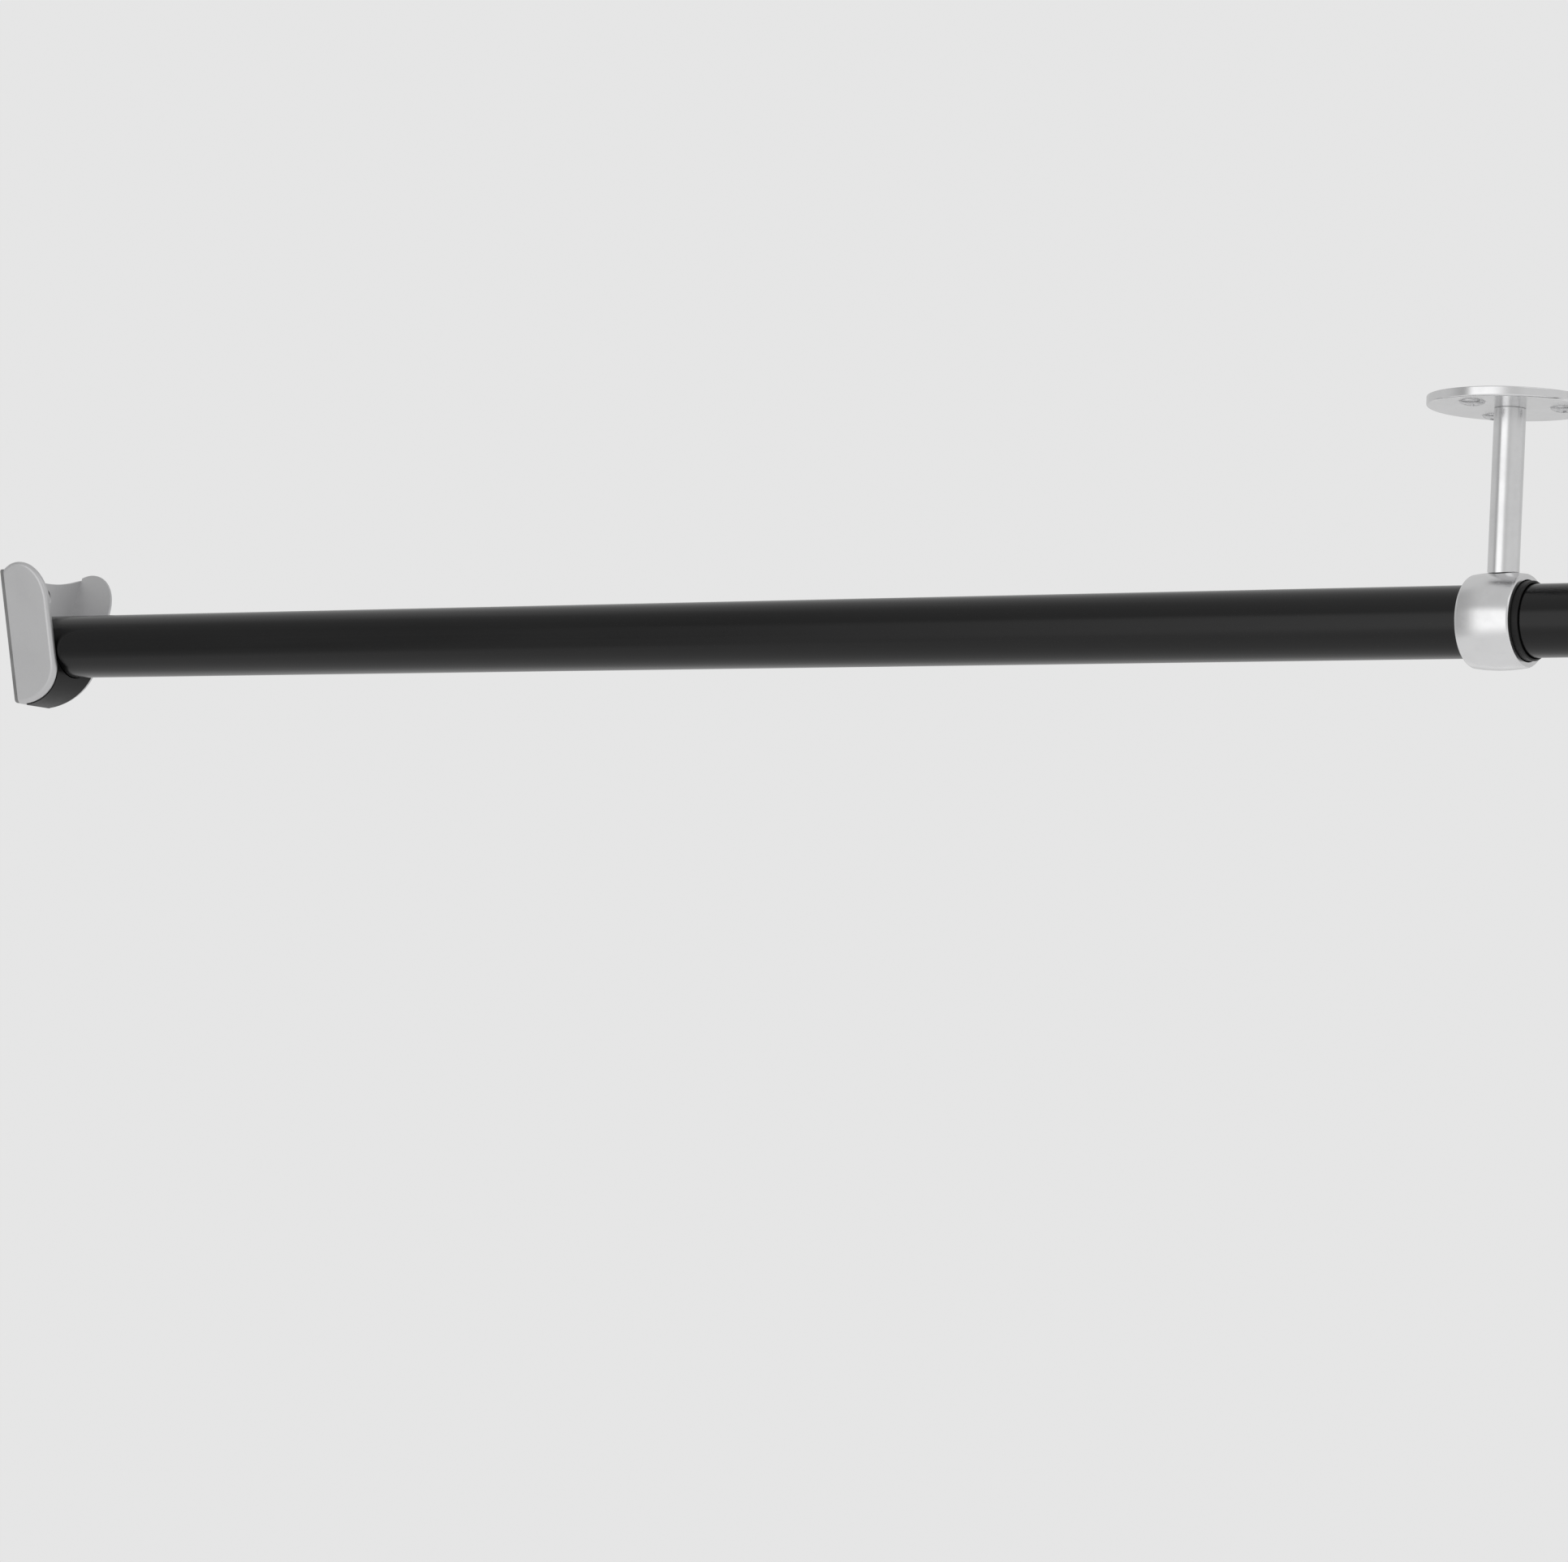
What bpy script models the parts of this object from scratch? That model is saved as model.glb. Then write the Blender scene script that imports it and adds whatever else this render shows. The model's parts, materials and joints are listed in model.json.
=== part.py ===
"""Round curtain rod with a ceiling support in the middle and an open socket at each wall.

Metres, +Z up. The origin is on the rod's axis, at the face of the left wall. The rod runs along +X to the
right wall. The ceiling is CEILING_Z above the axis.
"""
import math

import bmesh
import bpy
from mathutils import Matrix, Vector

# --- driving dimensions (metres and degrees) --------------------------------------------------------------
SPAN = 1.58                   # between the two walls
CEILING_Z = 0.091             # from the rod's axis up to the ceiling
GAP = 0.0003                  # left between pieces that touch

ROD_R = 0.015
ROD_WALL = 0.0015
ROD_END_PLAY = 0.002          # between each end of the rod and its socket

PLUG_CAP = 0.0015             # thickness of an end plug's cap
PLUG_DEPTH = 0.014            # how far a plug reaches into the tube
PLUG_WALL = 0.002
PLUG_CHAMFER = 0.0005

RING_R = 0.020                # at the middle of the barrel shape
RING_END_R = 0.0190           # at both ends
RING_BORE_R = 0.0166
RING_LENGTH = 0.024
RING_ROUND = 0.0006           # rounding of the ring's outer edges
LINER_WALL = 0.00095
LINER_LIP = 0.003             # how far the liner stands out of the ring on its right
LINER_INSET = 0.0006          # how far it stays inside the ring on its left

POST_R = 0.0065
POST_FOOT = 0.016             # height at which the post's bar starts, before its foot is hollowed
FLANGE_R = 0.034
FLANGE_T = 0.004
FLANGE_ROUND = 0.0007
FLANGE_SCREW_CIRCLE_R = 0.022
FLANGE_SCREW_COUNT = 3
FLANGE_SCREW_TURN = 12        # degrees from +X to the first screw

BASE_T = 0.0022               # plate between socket and wall
BASE_INSET = 0.0004           # how far its outline stays inside the socket's
BASE_ROUND = 0.0015           # rounding of its four corners
WEB_T = 0.0026                # the socket's back wall
WEB_TOP = 0.0315              # the lowest point of its hollowed top edge
WEB_TOP_CURVE_R = 0.08
CHEEK_T = 0.0025
CHEEK_ROUND = 0.0019          # rounding of the cheeks' outer edges
FLARE = math.tan(math.radians(15))   # each cheek leans out by this much per unit of height
SOCKET_DEPTH = 0.028          # from the wall to the cheeks' free edges
SOCKET_TOP = 0.0385
SOCKET_DOME_X = 0.0115        # the cheeks' highest point, from the wall
SOCKET_DOME_H = 0.0185        # height of the domed part
SOCKET_BOTTOM = -0.0285
SOCKET_TOE_X = 0.002          # where the rounded lower corner starts, from the wall
SOCKET_TOE_H = 0.0195         # height of the rounded lower corner
SADDLE_TOP = -0.008           # the saddle's horns end here
SADDLE_PROUD = 0.0005         # how far it stands out past the cheeks' lower edges
SOCKET_SCREW_Z = (0.024, -0.008)

COUNTERSINK = math.tan(math.radians(45))
HEAD_GAP = 0.00045            # between a screw's head and its countersink
WALL_SCREW = {"head_r": 0.0039, "shank_r": 0.0019, "recess": 0.0003}
FLANGE_SCREW = {"head_r": 0.0054, "shank_r": 0.0023, "recess": 0.0002}
POST_SCREW = {"head_r": 0.0046, "shank_r": 0.0024, "recess": 0.0003}
RING_SCREW = {"head_r": 0.0032, "shank_r": 0.0018, "recess": 0.0}
FLANGE_SCREW_DOME = 0.0019    # how far the middle of its raised head stands out
SCREW_RIM = 0.0002            # height of a head's short straight rim
CROSS_ARM = 0.58              # the cross recess, as shares of the head's radius: how far it reaches,
CROSS_HALF_WIDTH = 0.13       # half the width of an arm,
CROSS_DEPTH = 0.42            # and how deep it goes
CROSS_TAPER = 0.55            # its size at the bottom, as a share of its size at the mouth
POST_SCREW_REACH = 0.016      # how far each machine screw goes into the post
RING_SCREW_REACH = 0.010

ROUND_STEPS = 64
SMALL_STEPS = 32
LARGE_STEPS = 180             # round the wide hollow in the top edge of a socket's back wall
CUT_PAST = 0.002              # how far a cutter runs past the face that it opens
CUT_DEEP = 0.01               # length of a cutter that only has to go right through a thin wall

# --- lengths that follow from them ------------------------------------------------------------------------
POST_X = SPAN / 2
WEB_FACE = BASE_T + GAP + WEB_T
ROD_START = WEB_FACE + ROD_END_PLAY
TUBE_START = ROD_START + PLUG_CAP + GAP
TUBE_BORE_R = ROD_R - ROD_WALL
SEAT_R = ROD_R + GAP
CHEEK_INNER = (SEAT_R + GAP) * math.hypot(1, FLARE)       # half width between the cheeks, at the axis
CHEEK_OUTER = CHEEK_INNER + CHEEK_T * math.hypot(1, FLARE)
LINER_R = RING_BORE_R - GAP
FLANGE_BOTTOM = CEILING_Z - FLANGE_T


# --- general tools ----------------------------------------------------------------------------------------
def clear_scene():
    for obj in list(bpy.data.objects):
        bpy.data.objects.remove(obj)


def material(name, colour, roughness, metallic):
    mat = bpy.data.materials.new(name)
    mat.use_nodes = True
    shader = mat.node_tree.nodes["Principled BSDF"]
    shader.inputs["Base Color"].default_value = (*colour, 1)
    shader.inputs["Roughness"].default_value = roughness
    shader.inputs["Metallic"].default_value = metallic
    return mat


def empty(name, location, turn=0):
    frame = bpy.data.objects.new(name, None)
    frame.location = location
    frame.rotation_euler = (0, 0, turn)
    bpy.context.scene.collection.objects.link(frame)
    return frame


def finish_mesh(bm, name, sharp_degrees=35):
    bmesh.ops.remove_doubles(bm, verts=bm.verts, dist=1e-7)
    bmesh.ops.recalc_face_normals(bm, faces=bm.faces)
    mesh = bpy.data.meshes.new(name)
    bm.to_mesh(mesh)
    bm.free()
    mesh.shade_smooth()
    mesh.set_sharp_from_angle(angle=math.radians(sharp_degrees))
    return mesh


def place(name, mesh, mat=None, parent=None, location=(0, 0, 0)):
    obj = bpy.data.objects.new(name, mesh)
    obj.location = location
    obj.parent = parent
    if mat:
        mesh.materials.clear()
        mesh.materials.append(mat)
    bpy.context.scene.collection.objects.link(obj)
    return obj


def carve(mesh, cutters, sharp_degrees=35):
    """The mesh with the cutters' meshes cut out of it."""
    body = place("body", mesh)
    tools = [place("cutter", cutter) for cutter in cutters]
    for tool in tools:
        modifier = body.modifiers.new("cut", "BOOLEAN")
        modifier.operation = "DIFFERENCE"
        modifier.solver = "EXACT"
        modifier.object = tool
    depsgraph = bpy.context.evaluated_depsgraph_get()
    result = bpy.data.meshes.new_from_object(body.evaluated_get(depsgraph))
    for obj in [body, *tools]:
        bpy.data.objects.remove(obj)
    result.name = mesh.name
    result.shade_smooth()
    result.set_sharp_from_angle(angle=math.radians(sharp_degrees))
    return result


def turned(name, profile, axis="Z", steps=ROUND_STEPS):
    """A closed profile of (radius, height) points, turned about Z, or about X where height runs along X."""
    bm = bmesh.new()
    ring = [bm.verts.new((radius, 0, height)) for radius, height in profile]
    edges = [bm.edges.new((ring[i - 1], ring[i])) for i in range(len(ring))]
    bmesh.ops.spin(bm, geom=ring + edges, cent=(0, 0, 0), axis=(0, 0, 1), angle=math.tau, steps=steps,
                   use_merge=True)
    bmesh.ops.dissolve_degenerate(bm, edges=bm.edges, dist=1e-7)
    if axis == "X":
        bmesh.ops.rotate(bm, verts=bm.verts, matrix=Matrix.Rotation(math.pi / 2, 3, "Y"))
    return finish_mesh(bm, name)


def slab(name, outline, lower, upper):
    """A closed solid: the outline's points, joined between two sides that lower() and upper() place."""
    bm = bmesh.new()
    sides = [[bm.verts.new(side(u, v)) for u, v in outline] for side in (lower, upper)]
    for side in sides:
        bm.faces.new(side)
    for i in range(len(outline)):
        bm.faces.new((sides[0][i - 1], sides[0][i], sides[1][i], sides[1][i - 1]))
    bmesh.ops.recalc_face_normals(bm, faces=bm.faces)
    return bm


def quarter(centre, width, height, start, steps):
    """Points of a quarter of an ellipse about centre, from the angle start (degrees), clockwise."""
    angles = [math.radians(start - 90 * i / steps) for i in range(steps + 1)]
    return [(centre[0] + width * math.cos(a), centre[1] + height * math.sin(a)) for a in angles]


# --- screws -----------------------------------------------------------------------------------------------
def screw_mesh(name, head_r, shank_r, length, dome=0.0):
    """Countersunk cross-head screw along Z, with its head's rim at 0, its face down and its shank up."""
    cone = (head_r - shank_r) / COUNTERSINK
    face = [(0, 0)]
    if dome:
        angles = [math.radians(15 * i) for i in range(6)]
        face = [(head_r * math.sin(a), -dome * math.cos(a)) for a in angles]
    shank = [(shank_r, cone + SCREW_RIM), (shank_r, length), (0, length)]
    profile = [*face, (head_r, 0), (head_r, SCREW_RIM), *shank]
    return carve(turned(name, profile, steps=SMALL_STEPS), [cross_recess(head_r, dome)])


def cross_recess(head_r, dome):
    """A tapered cross, cut from below a head's face to as deep as a cross-head driver goes."""
    arm, half, depth = (head_r * share for share in (CROSS_ARM, CROSS_HALF_WIDTH, CROSS_DEPTH))
    outline = []
    for turn in range(4):
        spin = Matrix.Rotation(turn * math.pi / 2, 2)
        outline += [tuple(spin @ Vector(corner)) for corner in ((arm, half), (half, half), (half, arm))]
    below = -dome - depth / 4
    grow = 1 + (1 - CROSS_TAPER) / 4
    mouth = (lambda u, v: (u * grow, v * grow, below))
    bottom = (lambda u, v: (u * CROSS_TAPER, v * CROSS_TAPER, depth - dome))
    return finish_mesh(slab("recess", outline, mouth, bottom), "recess")


def screw_hole(name, head_r, shank_r, recess, length):
    """Cutter for a countersunk hole along Z: its mouth is at 0, and the head sits recess above it."""
    hole_r = shank_r + GAP
    deep = recess + (head_r + HEAD_GAP - hole_r) / COUNTERSINK
    mouth_r = head_r + HEAD_GAP + (recess + CUT_PAST) * COUNTERSINK
    profile = [(0, -CUT_PAST), (mouth_r, -CUT_PAST), (hole_r, deep), (hole_r, length), (0, length)]
    return turned(name, profile, steps=SMALL_STEPS)


def moved(mesh, matrix):
    mesh.transform(matrix)
    return mesh


# --- rod --------------------------------------------------------------------------------------------------
def tube_mesh():
    length = SPAN - 2 * TUBE_START
    profile = [(TUBE_BORE_R, 0), (ROD_R, 0), (ROD_R, length), (TUBE_BORE_R, length)]
    return turned("rod_tube", profile, "X")


def plug_mesh():
    """Cap at the left, with a hollow spigot that runs to the right into the tube."""
    spigot = TUBE_BORE_R - GAP
    end = PLUG_CAP + PLUG_DEPTH
    cap = [(0, 0), (ROD_R - PLUG_CHAMFER, 0), (ROD_R, PLUG_CHAMFER), (ROD_R, PLUG_CAP), (spigot, PLUG_CAP)]
    hollow_r = spigot - PLUG_WALL
    profile = [*cap, (spigot, end), (hollow_r, end), (hollow_r, PLUG_CAP), (0, PLUG_CAP)]
    return turned("end_plug", profile, "X")


def build_rod(coating, plastic):
    axis = empty("rod_axis", (0, 0, 0))
    place("rod_tube", tube_mesh(), coating, axis, (TUBE_START, 0, 0))
    plug = plug_mesh()
    place("left_end_plug", plug, plastic, axis, (ROD_START, 0, 0))
    right = place("right_end_plug", plug, plastic, axis, (SPAN - ROD_START, 0, 0))
    right.rotation_euler = (0, 0, math.pi)


# --- ceiling support --------------------------------------------------------------------------------------
def barrel_radius(x, grow=0):
    """Radius of the ring's outside, which is an arc of a circle along its length."""
    half = RING_LENGTH / 2
    rise = RING_R - RING_END_R
    arc = (half ** 2 + rise ** 2) / (2 * rise)
    return RING_R + grow - (arc - math.sqrt(arc ** 2 - x ** 2))


def ring_mesh():
    half = RING_LENGTH / 2
    flat = half - RING_ROUND
    outside = [(barrel_radius(flat * (i / 6 - 1)), flat * (i / 6 - 1)) for i in range(13)]
    shoulder = RING_ROUND * 0.3
    edge_r, shoulder_r = RING_END_R - RING_ROUND, RING_END_R - shoulder
    profile = [(RING_BORE_R, -half), (edge_r, -half), (shoulder_r, shoulder - half), *outside,
               (shoulder_r, half - shoulder), (edge_r, half), (RING_BORE_R, half)]
    hole = screw_hole("hole", **RING_SCREW, length=CUT_DEEP)
    moved(hole, Matrix.Translation((0, 0, RING_BORE_R + GAP)))
    return carve(turned("support_ring", profile, "X"), [hole])


def liner_mesh():
    start = LINER_INSET - RING_LENGTH / 2
    end = RING_LENGTH / 2 + LINER_LIP
    inner = LINER_R - LINER_WALL
    return turned("ring_liner", [(inner, start), (LINER_R, start), (LINER_R, end), (inner, end)], "X")


def post_mesh():
    """A round bar whose foot is hollowed to sit on the ring, drilled at both ends."""
    top = FLANGE_BOTTOM - GAP
    bar = turned("support_post", [(0, POST_FOOT), (POST_R, POST_FOOT), (POST_R, top), (0, top)])
    reach = POST_R * 1.3
    steps = [reach * (i / 6 - 1) for i in range(13)]
    barrel = [(0, -reach), *[(barrel_radius(x, GAP), x) for x in steps], (0, reach)]
    saddle = turned("saddle", barrel, "X")
    upper = drill(POST_SCREW["shank_r"], top - POST_SCREW_REACH, top + CUT_PAST)
    lower = drill(RING_SCREW["shank_r"], POST_FOOT, RING_R + RING_SCREW_REACH)
    holes = [turned("hole", profile, steps=SMALL_STEPS) for profile in (upper, lower)]
    return carve(bar, [saddle, *holes])


def drill(shank_r, low, high):
    """Profile of a plain hole for a shank, between two heights."""
    return [(0, low), (shank_r + GAP, low), (shank_r + GAP, high), (0, high)]


def flange_screw_angles():
    return [math.radians(FLANGE_SCREW_TURN + 360 * i / FLANGE_SCREW_COUNT) for i in range(FLANGE_SCREW_COUNT)]


def flange_mesh():
    """The ceiling plate, with its top at height 0 and its visible side down."""
    profile = [(0, -FLANGE_T), (FLANGE_R - FLANGE_ROUND, -FLANGE_T),
               (FLANGE_R - FLANGE_ROUND * 0.3, FLANGE_ROUND * 0.3 - FLANGE_T),
               (FLANGE_R, FLANGE_ROUND - FLANGE_T), (FLANGE_R, 0), (0, 0)]
    plate = turned("ceiling_flange", profile)
    holes = []
    for angle in flange_screw_angles():
        hole = screw_hole("hole", **FLANGE_SCREW, length=FLANGE_T + CUT_PAST)
        offset = (FLANGE_SCREW_CIRCLE_R * math.cos(angle), FLANGE_SCREW_CIRCLE_R * math.sin(angle), -FLANGE_T)
        holes.append(moved(hole, Matrix.Translation(offset)))
    centre = screw_hole("hole", **POST_SCREW, length=FLANGE_T + CUT_PAST)
    holes.append(moved(centre, Matrix.Rotation(math.pi, 4, "X")))
    return carve(plate, holes)


def build_support(chrome, steel, plastic):
    axis = empty("support_axis", (POST_X, 0, 0))
    place("support_ring", ring_mesh(), chrome, axis)
    place("ring_liner", liner_mesh(), plastic, axis)
    place("support_post", post_mesh(), chrome, axis)
    place("ceiling_flange", flange_mesh(), chrome, axis, (0, 0, CEILING_Z))

    ring_screw_z = RING_BORE_R + GAP + RING_SCREW["recess"]
    ring_screw_top = RING_R + RING_SCREW_REACH - 2 * GAP
    ring_screw = screw_mesh("ring_screw", RING_SCREW["head_r"], RING_SCREW["shank_r"],
                            ring_screw_top - ring_screw_z)
    place("ring_screw", ring_screw, steel, axis, (0, 0, ring_screw_z))

    post_screw = screw_mesh("post_screw", POST_SCREW["head_r"], POST_SCREW["shank_r"],
                            FLANGE_T + POST_SCREW_REACH - 2 * GAP - POST_SCREW["recess"])
    post_screw.transform(Matrix.Rotation(math.pi, 4, "X"))
    place("post_screw", post_screw, steel, axis, (0, 0, CEILING_Z - POST_SCREW["recess"]))

    plate_screw = screw_mesh("flange_screw", FLANGE_SCREW["head_r"], FLANGE_SCREW["shank_r"],
                             FLANGE_T - FLANGE_SCREW["recess"] - GAP, FLANGE_SCREW_DOME)
    for number, angle in enumerate(flange_screw_angles(), 1):
        spot = (FLANGE_SCREW_CIRCLE_R * math.cos(angle), FLANGE_SCREW_CIRCLE_R * math.sin(angle),
                FLANGE_BOTTOM + FLANGE_SCREW["recess"])
        place(f"flange_screw_{number}", plate_screw, steel, axis, spot)


# --- wall sockets: the wall is at x = 0, and the rod leaves along +X --------------------------------------
def dome_outline(steps=10):
    """The cheeks' domed top, from the point over the wall plate's face to the free edge."""
    width = SOCKET_DEPTH - SOCKET_DOME_X
    base = SOCKET_TOP - SOCKET_DOME_H
    start_x = BASE_T + GAP
    start = math.acos((start_x - SOCKET_DOME_X) / width)
    angles = [start * (1 - i / steps) for i in range(steps + 1)]
    return [(SOCKET_DOME_X + width * math.cos(a), base + SOCKET_DOME_H * math.sin(a)) for a in angles]


def toe_outline(grow=0.0, steps=8):
    """The rounded lower corner, from the free edge to the lowest point."""
    centre = (SOCKET_TOE_X, SOCKET_BOTTOM + SOCKET_TOE_H)
    return quarter(centre, SOCKET_DEPTH - SOCKET_TOE_X + grow, SOCKET_TOE_H + grow, 0, steps)


def between_cheeks(half_width):
    """Places outline points (x, z) on both sides of a wedge that widens towards the top."""
    return (lambda x, z: (x, -half_width - FLARE * z, z)), (lambda x, z: (x, half_width + FLARE * z, z))


def web_top_cutter(lowering=0):
    """A wide cylinder along X that hollows the top edge of the back wall."""
    centre_z = WEB_TOP + WEB_TOP_CURVE_R - lowering
    profile = [(0, -CUT_DEEP), (WEB_TOP_CURVE_R, -CUT_DEEP), (WEB_TOP_CURVE_R, 0), (0, 0)]
    cutter = turned("hollow", profile, "X", LARGE_STEPS)
    return moved(cutter, Matrix.Translation((WEB_FACE + GAP, 0, centre_z)))


def shell_mesh():
    """Two flared cheeks joined by a back wall, open at the top, front and bottom."""
    back = BASE_T + GAP
    toe = [(x, z) for x, z in toe_outline() if x > back]
    outline = dome_outline() + toe + [(back, SOCKET_BOTTOM)]
    bm = slab("shell", outline, *between_cheeks(CHEEK_OUTER))
    rims = [edge for edge in bm.edges
            if len({v.co.y > 0 for v in edge.verts}) == 1 and max(v.co.x for v in edge.verts) > back + 1e-6]
    bmesh.ops.bevel(bm, geom=rims, offset=CHEEK_ROUND, segments=3, profile=0.5, affect="EDGES",
                    clamp_overlap=True)
    body = finish_mesh(bm, "socket_shell")
    low, high, front = SOCKET_BOTTOM - CUT_DEEP, SOCKET_TOP + CUT_DEEP, SOCKET_DEPTH + CUT_DEEP
    cavity = [(WEB_FACE, low), (WEB_FACE, high), (front, high), (front, low)]
    cutters = [finish_mesh(slab("cavity", cavity, *between_cheeks(CHEEK_INNER)), "cavity"), web_top_cutter()]
    for z in SOCKET_SCREW_Z:
        hole = moved(screw_hole("hole", **WALL_SCREW, length=CUT_DEEP), Matrix.Rotation(-math.pi / 2, 4, "Y"))
        cutters.append(moved(hole, Matrix.Translation((WEB_FACE, 0, z))))
    return carve(body, cutters)


def saddle_mesh():
    """Fills the space between the cheeks under the rod, with a round seat for it."""
    back = WEB_FACE + GAP
    front = SOCKET_DEPTH - GAP
    toe = [(min(x, front), z) for x, z in toe_outline(SADDLE_PROUD) if x > back]
    outline = [(back, SADDLE_TOP), (front, SADDLE_TOP), *toe, (back, SOCKET_BOTTOM - SADDLE_PROUD)]
    body = finish_mesh(slab("saddle", outline, *between_cheeks(CHEEK_INNER - GAP * math.hypot(1, FLARE))),
                       "rod_saddle")
    past = SOCKET_DEPTH + CUT_DEEP
    seat = turned("seat", [(0, 0), (SEAT_R, 0), (SEAT_R, past), (0, past)], "X")
    return carve(body, [seat])


def base_mesh():
    """The plate on the wall, as wide as the socket's back at each height."""
    top = dome_outline()[0][1] - BASE_INSET
    bottom = SOCKET_BOTTOM + BASE_INSET
    edge = CHEEK_OUTER - BASE_INSET
    outline = [(-edge - FLARE * bottom, bottom), (-edge - FLARE * top, top),
               (edge + FLARE * top, top), (edge + FLARE * bottom, bottom)]
    bm = slab("base", outline, lambda y, z: (0, y, z), lambda y, z: (BASE_T, y, z))
    corners = [e for e in bm.edges if abs(e.verts[0].co.x - e.verts[1].co.x) > BASE_T / 2]
    bmesh.ops.bevel(bm, geom=corners, offset=BASE_ROUND, segments=3, profile=0.5, affect="EDGES")
    body = finish_mesh(bm, "base_plate")
    cutters = [web_top_cutter(BASE_INSET)]
    for z in SOCKET_SCREW_Z:
        hole = turned("hole", drill(WALL_SCREW["shank_r"], -CUT_PAST, BASE_T + CUT_PAST), "X", SMALL_STEPS)
        cutters.append(moved(hole, Matrix.Translation((0, 0, z))))
    return carve(body, cutters)


def wall_screw_mesh():
    length = WEB_FACE - WALL_SCREW["recess"] - GAP
    mesh = screw_mesh("wall_screw", WALL_SCREW["head_r"], WALL_SCREW["shank_r"], length)
    return moved(mesh, Matrix.Rotation(-math.pi / 2, 4, "Y"))


def build_sockets(nickel, steel, plastic, grey):
    meshes = {"base_plate": (base_mesh(), grey), "socket_shell": (shell_mesh(), nickel),
              "rod_saddle": (saddle_mesh(), plastic)}
    screw = wall_screw_mesh()
    for side, x, turn in (("left", 0, 0), ("right", SPAN, math.pi)):
        frame = empty(f"{side}_socket_axis", (x, 0, 0), turn)
        for piece, (mesh, mat) in meshes.items():
            place(f"{side}_{piece}", mesh, mat, frame)
        for level, z in zip(("upper", "lower"), SOCKET_SCREW_Z):
            place(f"{side}_{level}_screw", screw, steel, frame, (WEB_FACE - WALL_SCREW["recess"], 0, z))


def main():
    clear_scene()
    coating = material("black_coating", (0.018, 0.018, 0.019), 0.45, 0)
    chrome = material("polished_chrome", (0.80, 0.80, 0.81), 0.10, 1)
    nickel = material("satin_nickel", (0.58, 0.58, 0.58), 0.32, 1)
    steel = material("screw_steel", (0.55, 0.55, 0.56), 0.28, 1)
    plastic = material("black_plastic", (0.02, 0.02, 0.02), 0.40, 0)
    grey = material("grey_plastic", (0.18, 0.18, 0.18), 0.45, 0)
    build_rod(coating, plastic)
    build_support(chrome, steel, plastic)
    build_sockets(nickel, steel, plastic, grey)


main()
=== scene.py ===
"""Looks for the curtain rod with a ceiling support and two wall sockets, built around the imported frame.

Metres, +Z up. The rod's axis runs along +X from the left wall, and the ceiling is above it. Every node is
replaced by a piece of the same size with finer rounding, which rides on the node's own body.
"""
import json
import math

import bmesh
import bpy
from mathutils import Matrix, Vector

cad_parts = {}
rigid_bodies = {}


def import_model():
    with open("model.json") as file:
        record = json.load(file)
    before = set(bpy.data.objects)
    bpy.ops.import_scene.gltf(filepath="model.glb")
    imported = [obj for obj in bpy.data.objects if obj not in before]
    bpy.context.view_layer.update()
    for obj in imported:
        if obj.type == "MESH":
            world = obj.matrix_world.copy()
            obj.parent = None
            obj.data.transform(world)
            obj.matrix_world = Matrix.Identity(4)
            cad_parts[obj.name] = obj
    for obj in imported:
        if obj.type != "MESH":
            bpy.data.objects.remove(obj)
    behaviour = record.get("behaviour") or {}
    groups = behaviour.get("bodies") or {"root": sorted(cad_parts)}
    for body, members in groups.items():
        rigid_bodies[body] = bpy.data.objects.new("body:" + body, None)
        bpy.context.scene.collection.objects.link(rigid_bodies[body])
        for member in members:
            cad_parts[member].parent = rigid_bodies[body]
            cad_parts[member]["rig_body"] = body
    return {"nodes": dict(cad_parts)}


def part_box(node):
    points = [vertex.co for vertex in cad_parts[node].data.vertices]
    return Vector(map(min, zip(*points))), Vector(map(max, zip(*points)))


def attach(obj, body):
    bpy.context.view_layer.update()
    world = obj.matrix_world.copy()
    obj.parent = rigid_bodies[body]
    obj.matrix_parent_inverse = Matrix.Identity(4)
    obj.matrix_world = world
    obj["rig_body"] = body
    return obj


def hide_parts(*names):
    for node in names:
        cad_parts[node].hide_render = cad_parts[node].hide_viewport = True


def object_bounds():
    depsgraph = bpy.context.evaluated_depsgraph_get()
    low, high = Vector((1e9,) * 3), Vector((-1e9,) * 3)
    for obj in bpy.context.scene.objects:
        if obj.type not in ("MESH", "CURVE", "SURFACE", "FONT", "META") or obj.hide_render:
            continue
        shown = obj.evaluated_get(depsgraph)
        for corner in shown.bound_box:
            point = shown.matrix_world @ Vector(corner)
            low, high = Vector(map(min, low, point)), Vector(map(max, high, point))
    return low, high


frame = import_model()
cad_lo, cad_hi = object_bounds()

# --- boxes taken from the frame ---------------------------------------------------------------------------
TUBE_LO, TUBE_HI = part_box("rod_tube")
PLUG_LO, PLUG_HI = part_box("left_end_plug")
RING_LO, RING_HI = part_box("support_ring")
LINER_LO, LINER_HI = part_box("ring_liner")
POST_LO, POST_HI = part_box("support_post")
FLANGE_LO, FLANGE_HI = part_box("ceiling_flange")
BASE_LO, BASE_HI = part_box("left_base_plate")
SHELL_LO, SHELL_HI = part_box("left_socket_shell")
SADDLE_LO, SADDLE_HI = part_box("left_rod_saddle")

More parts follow.
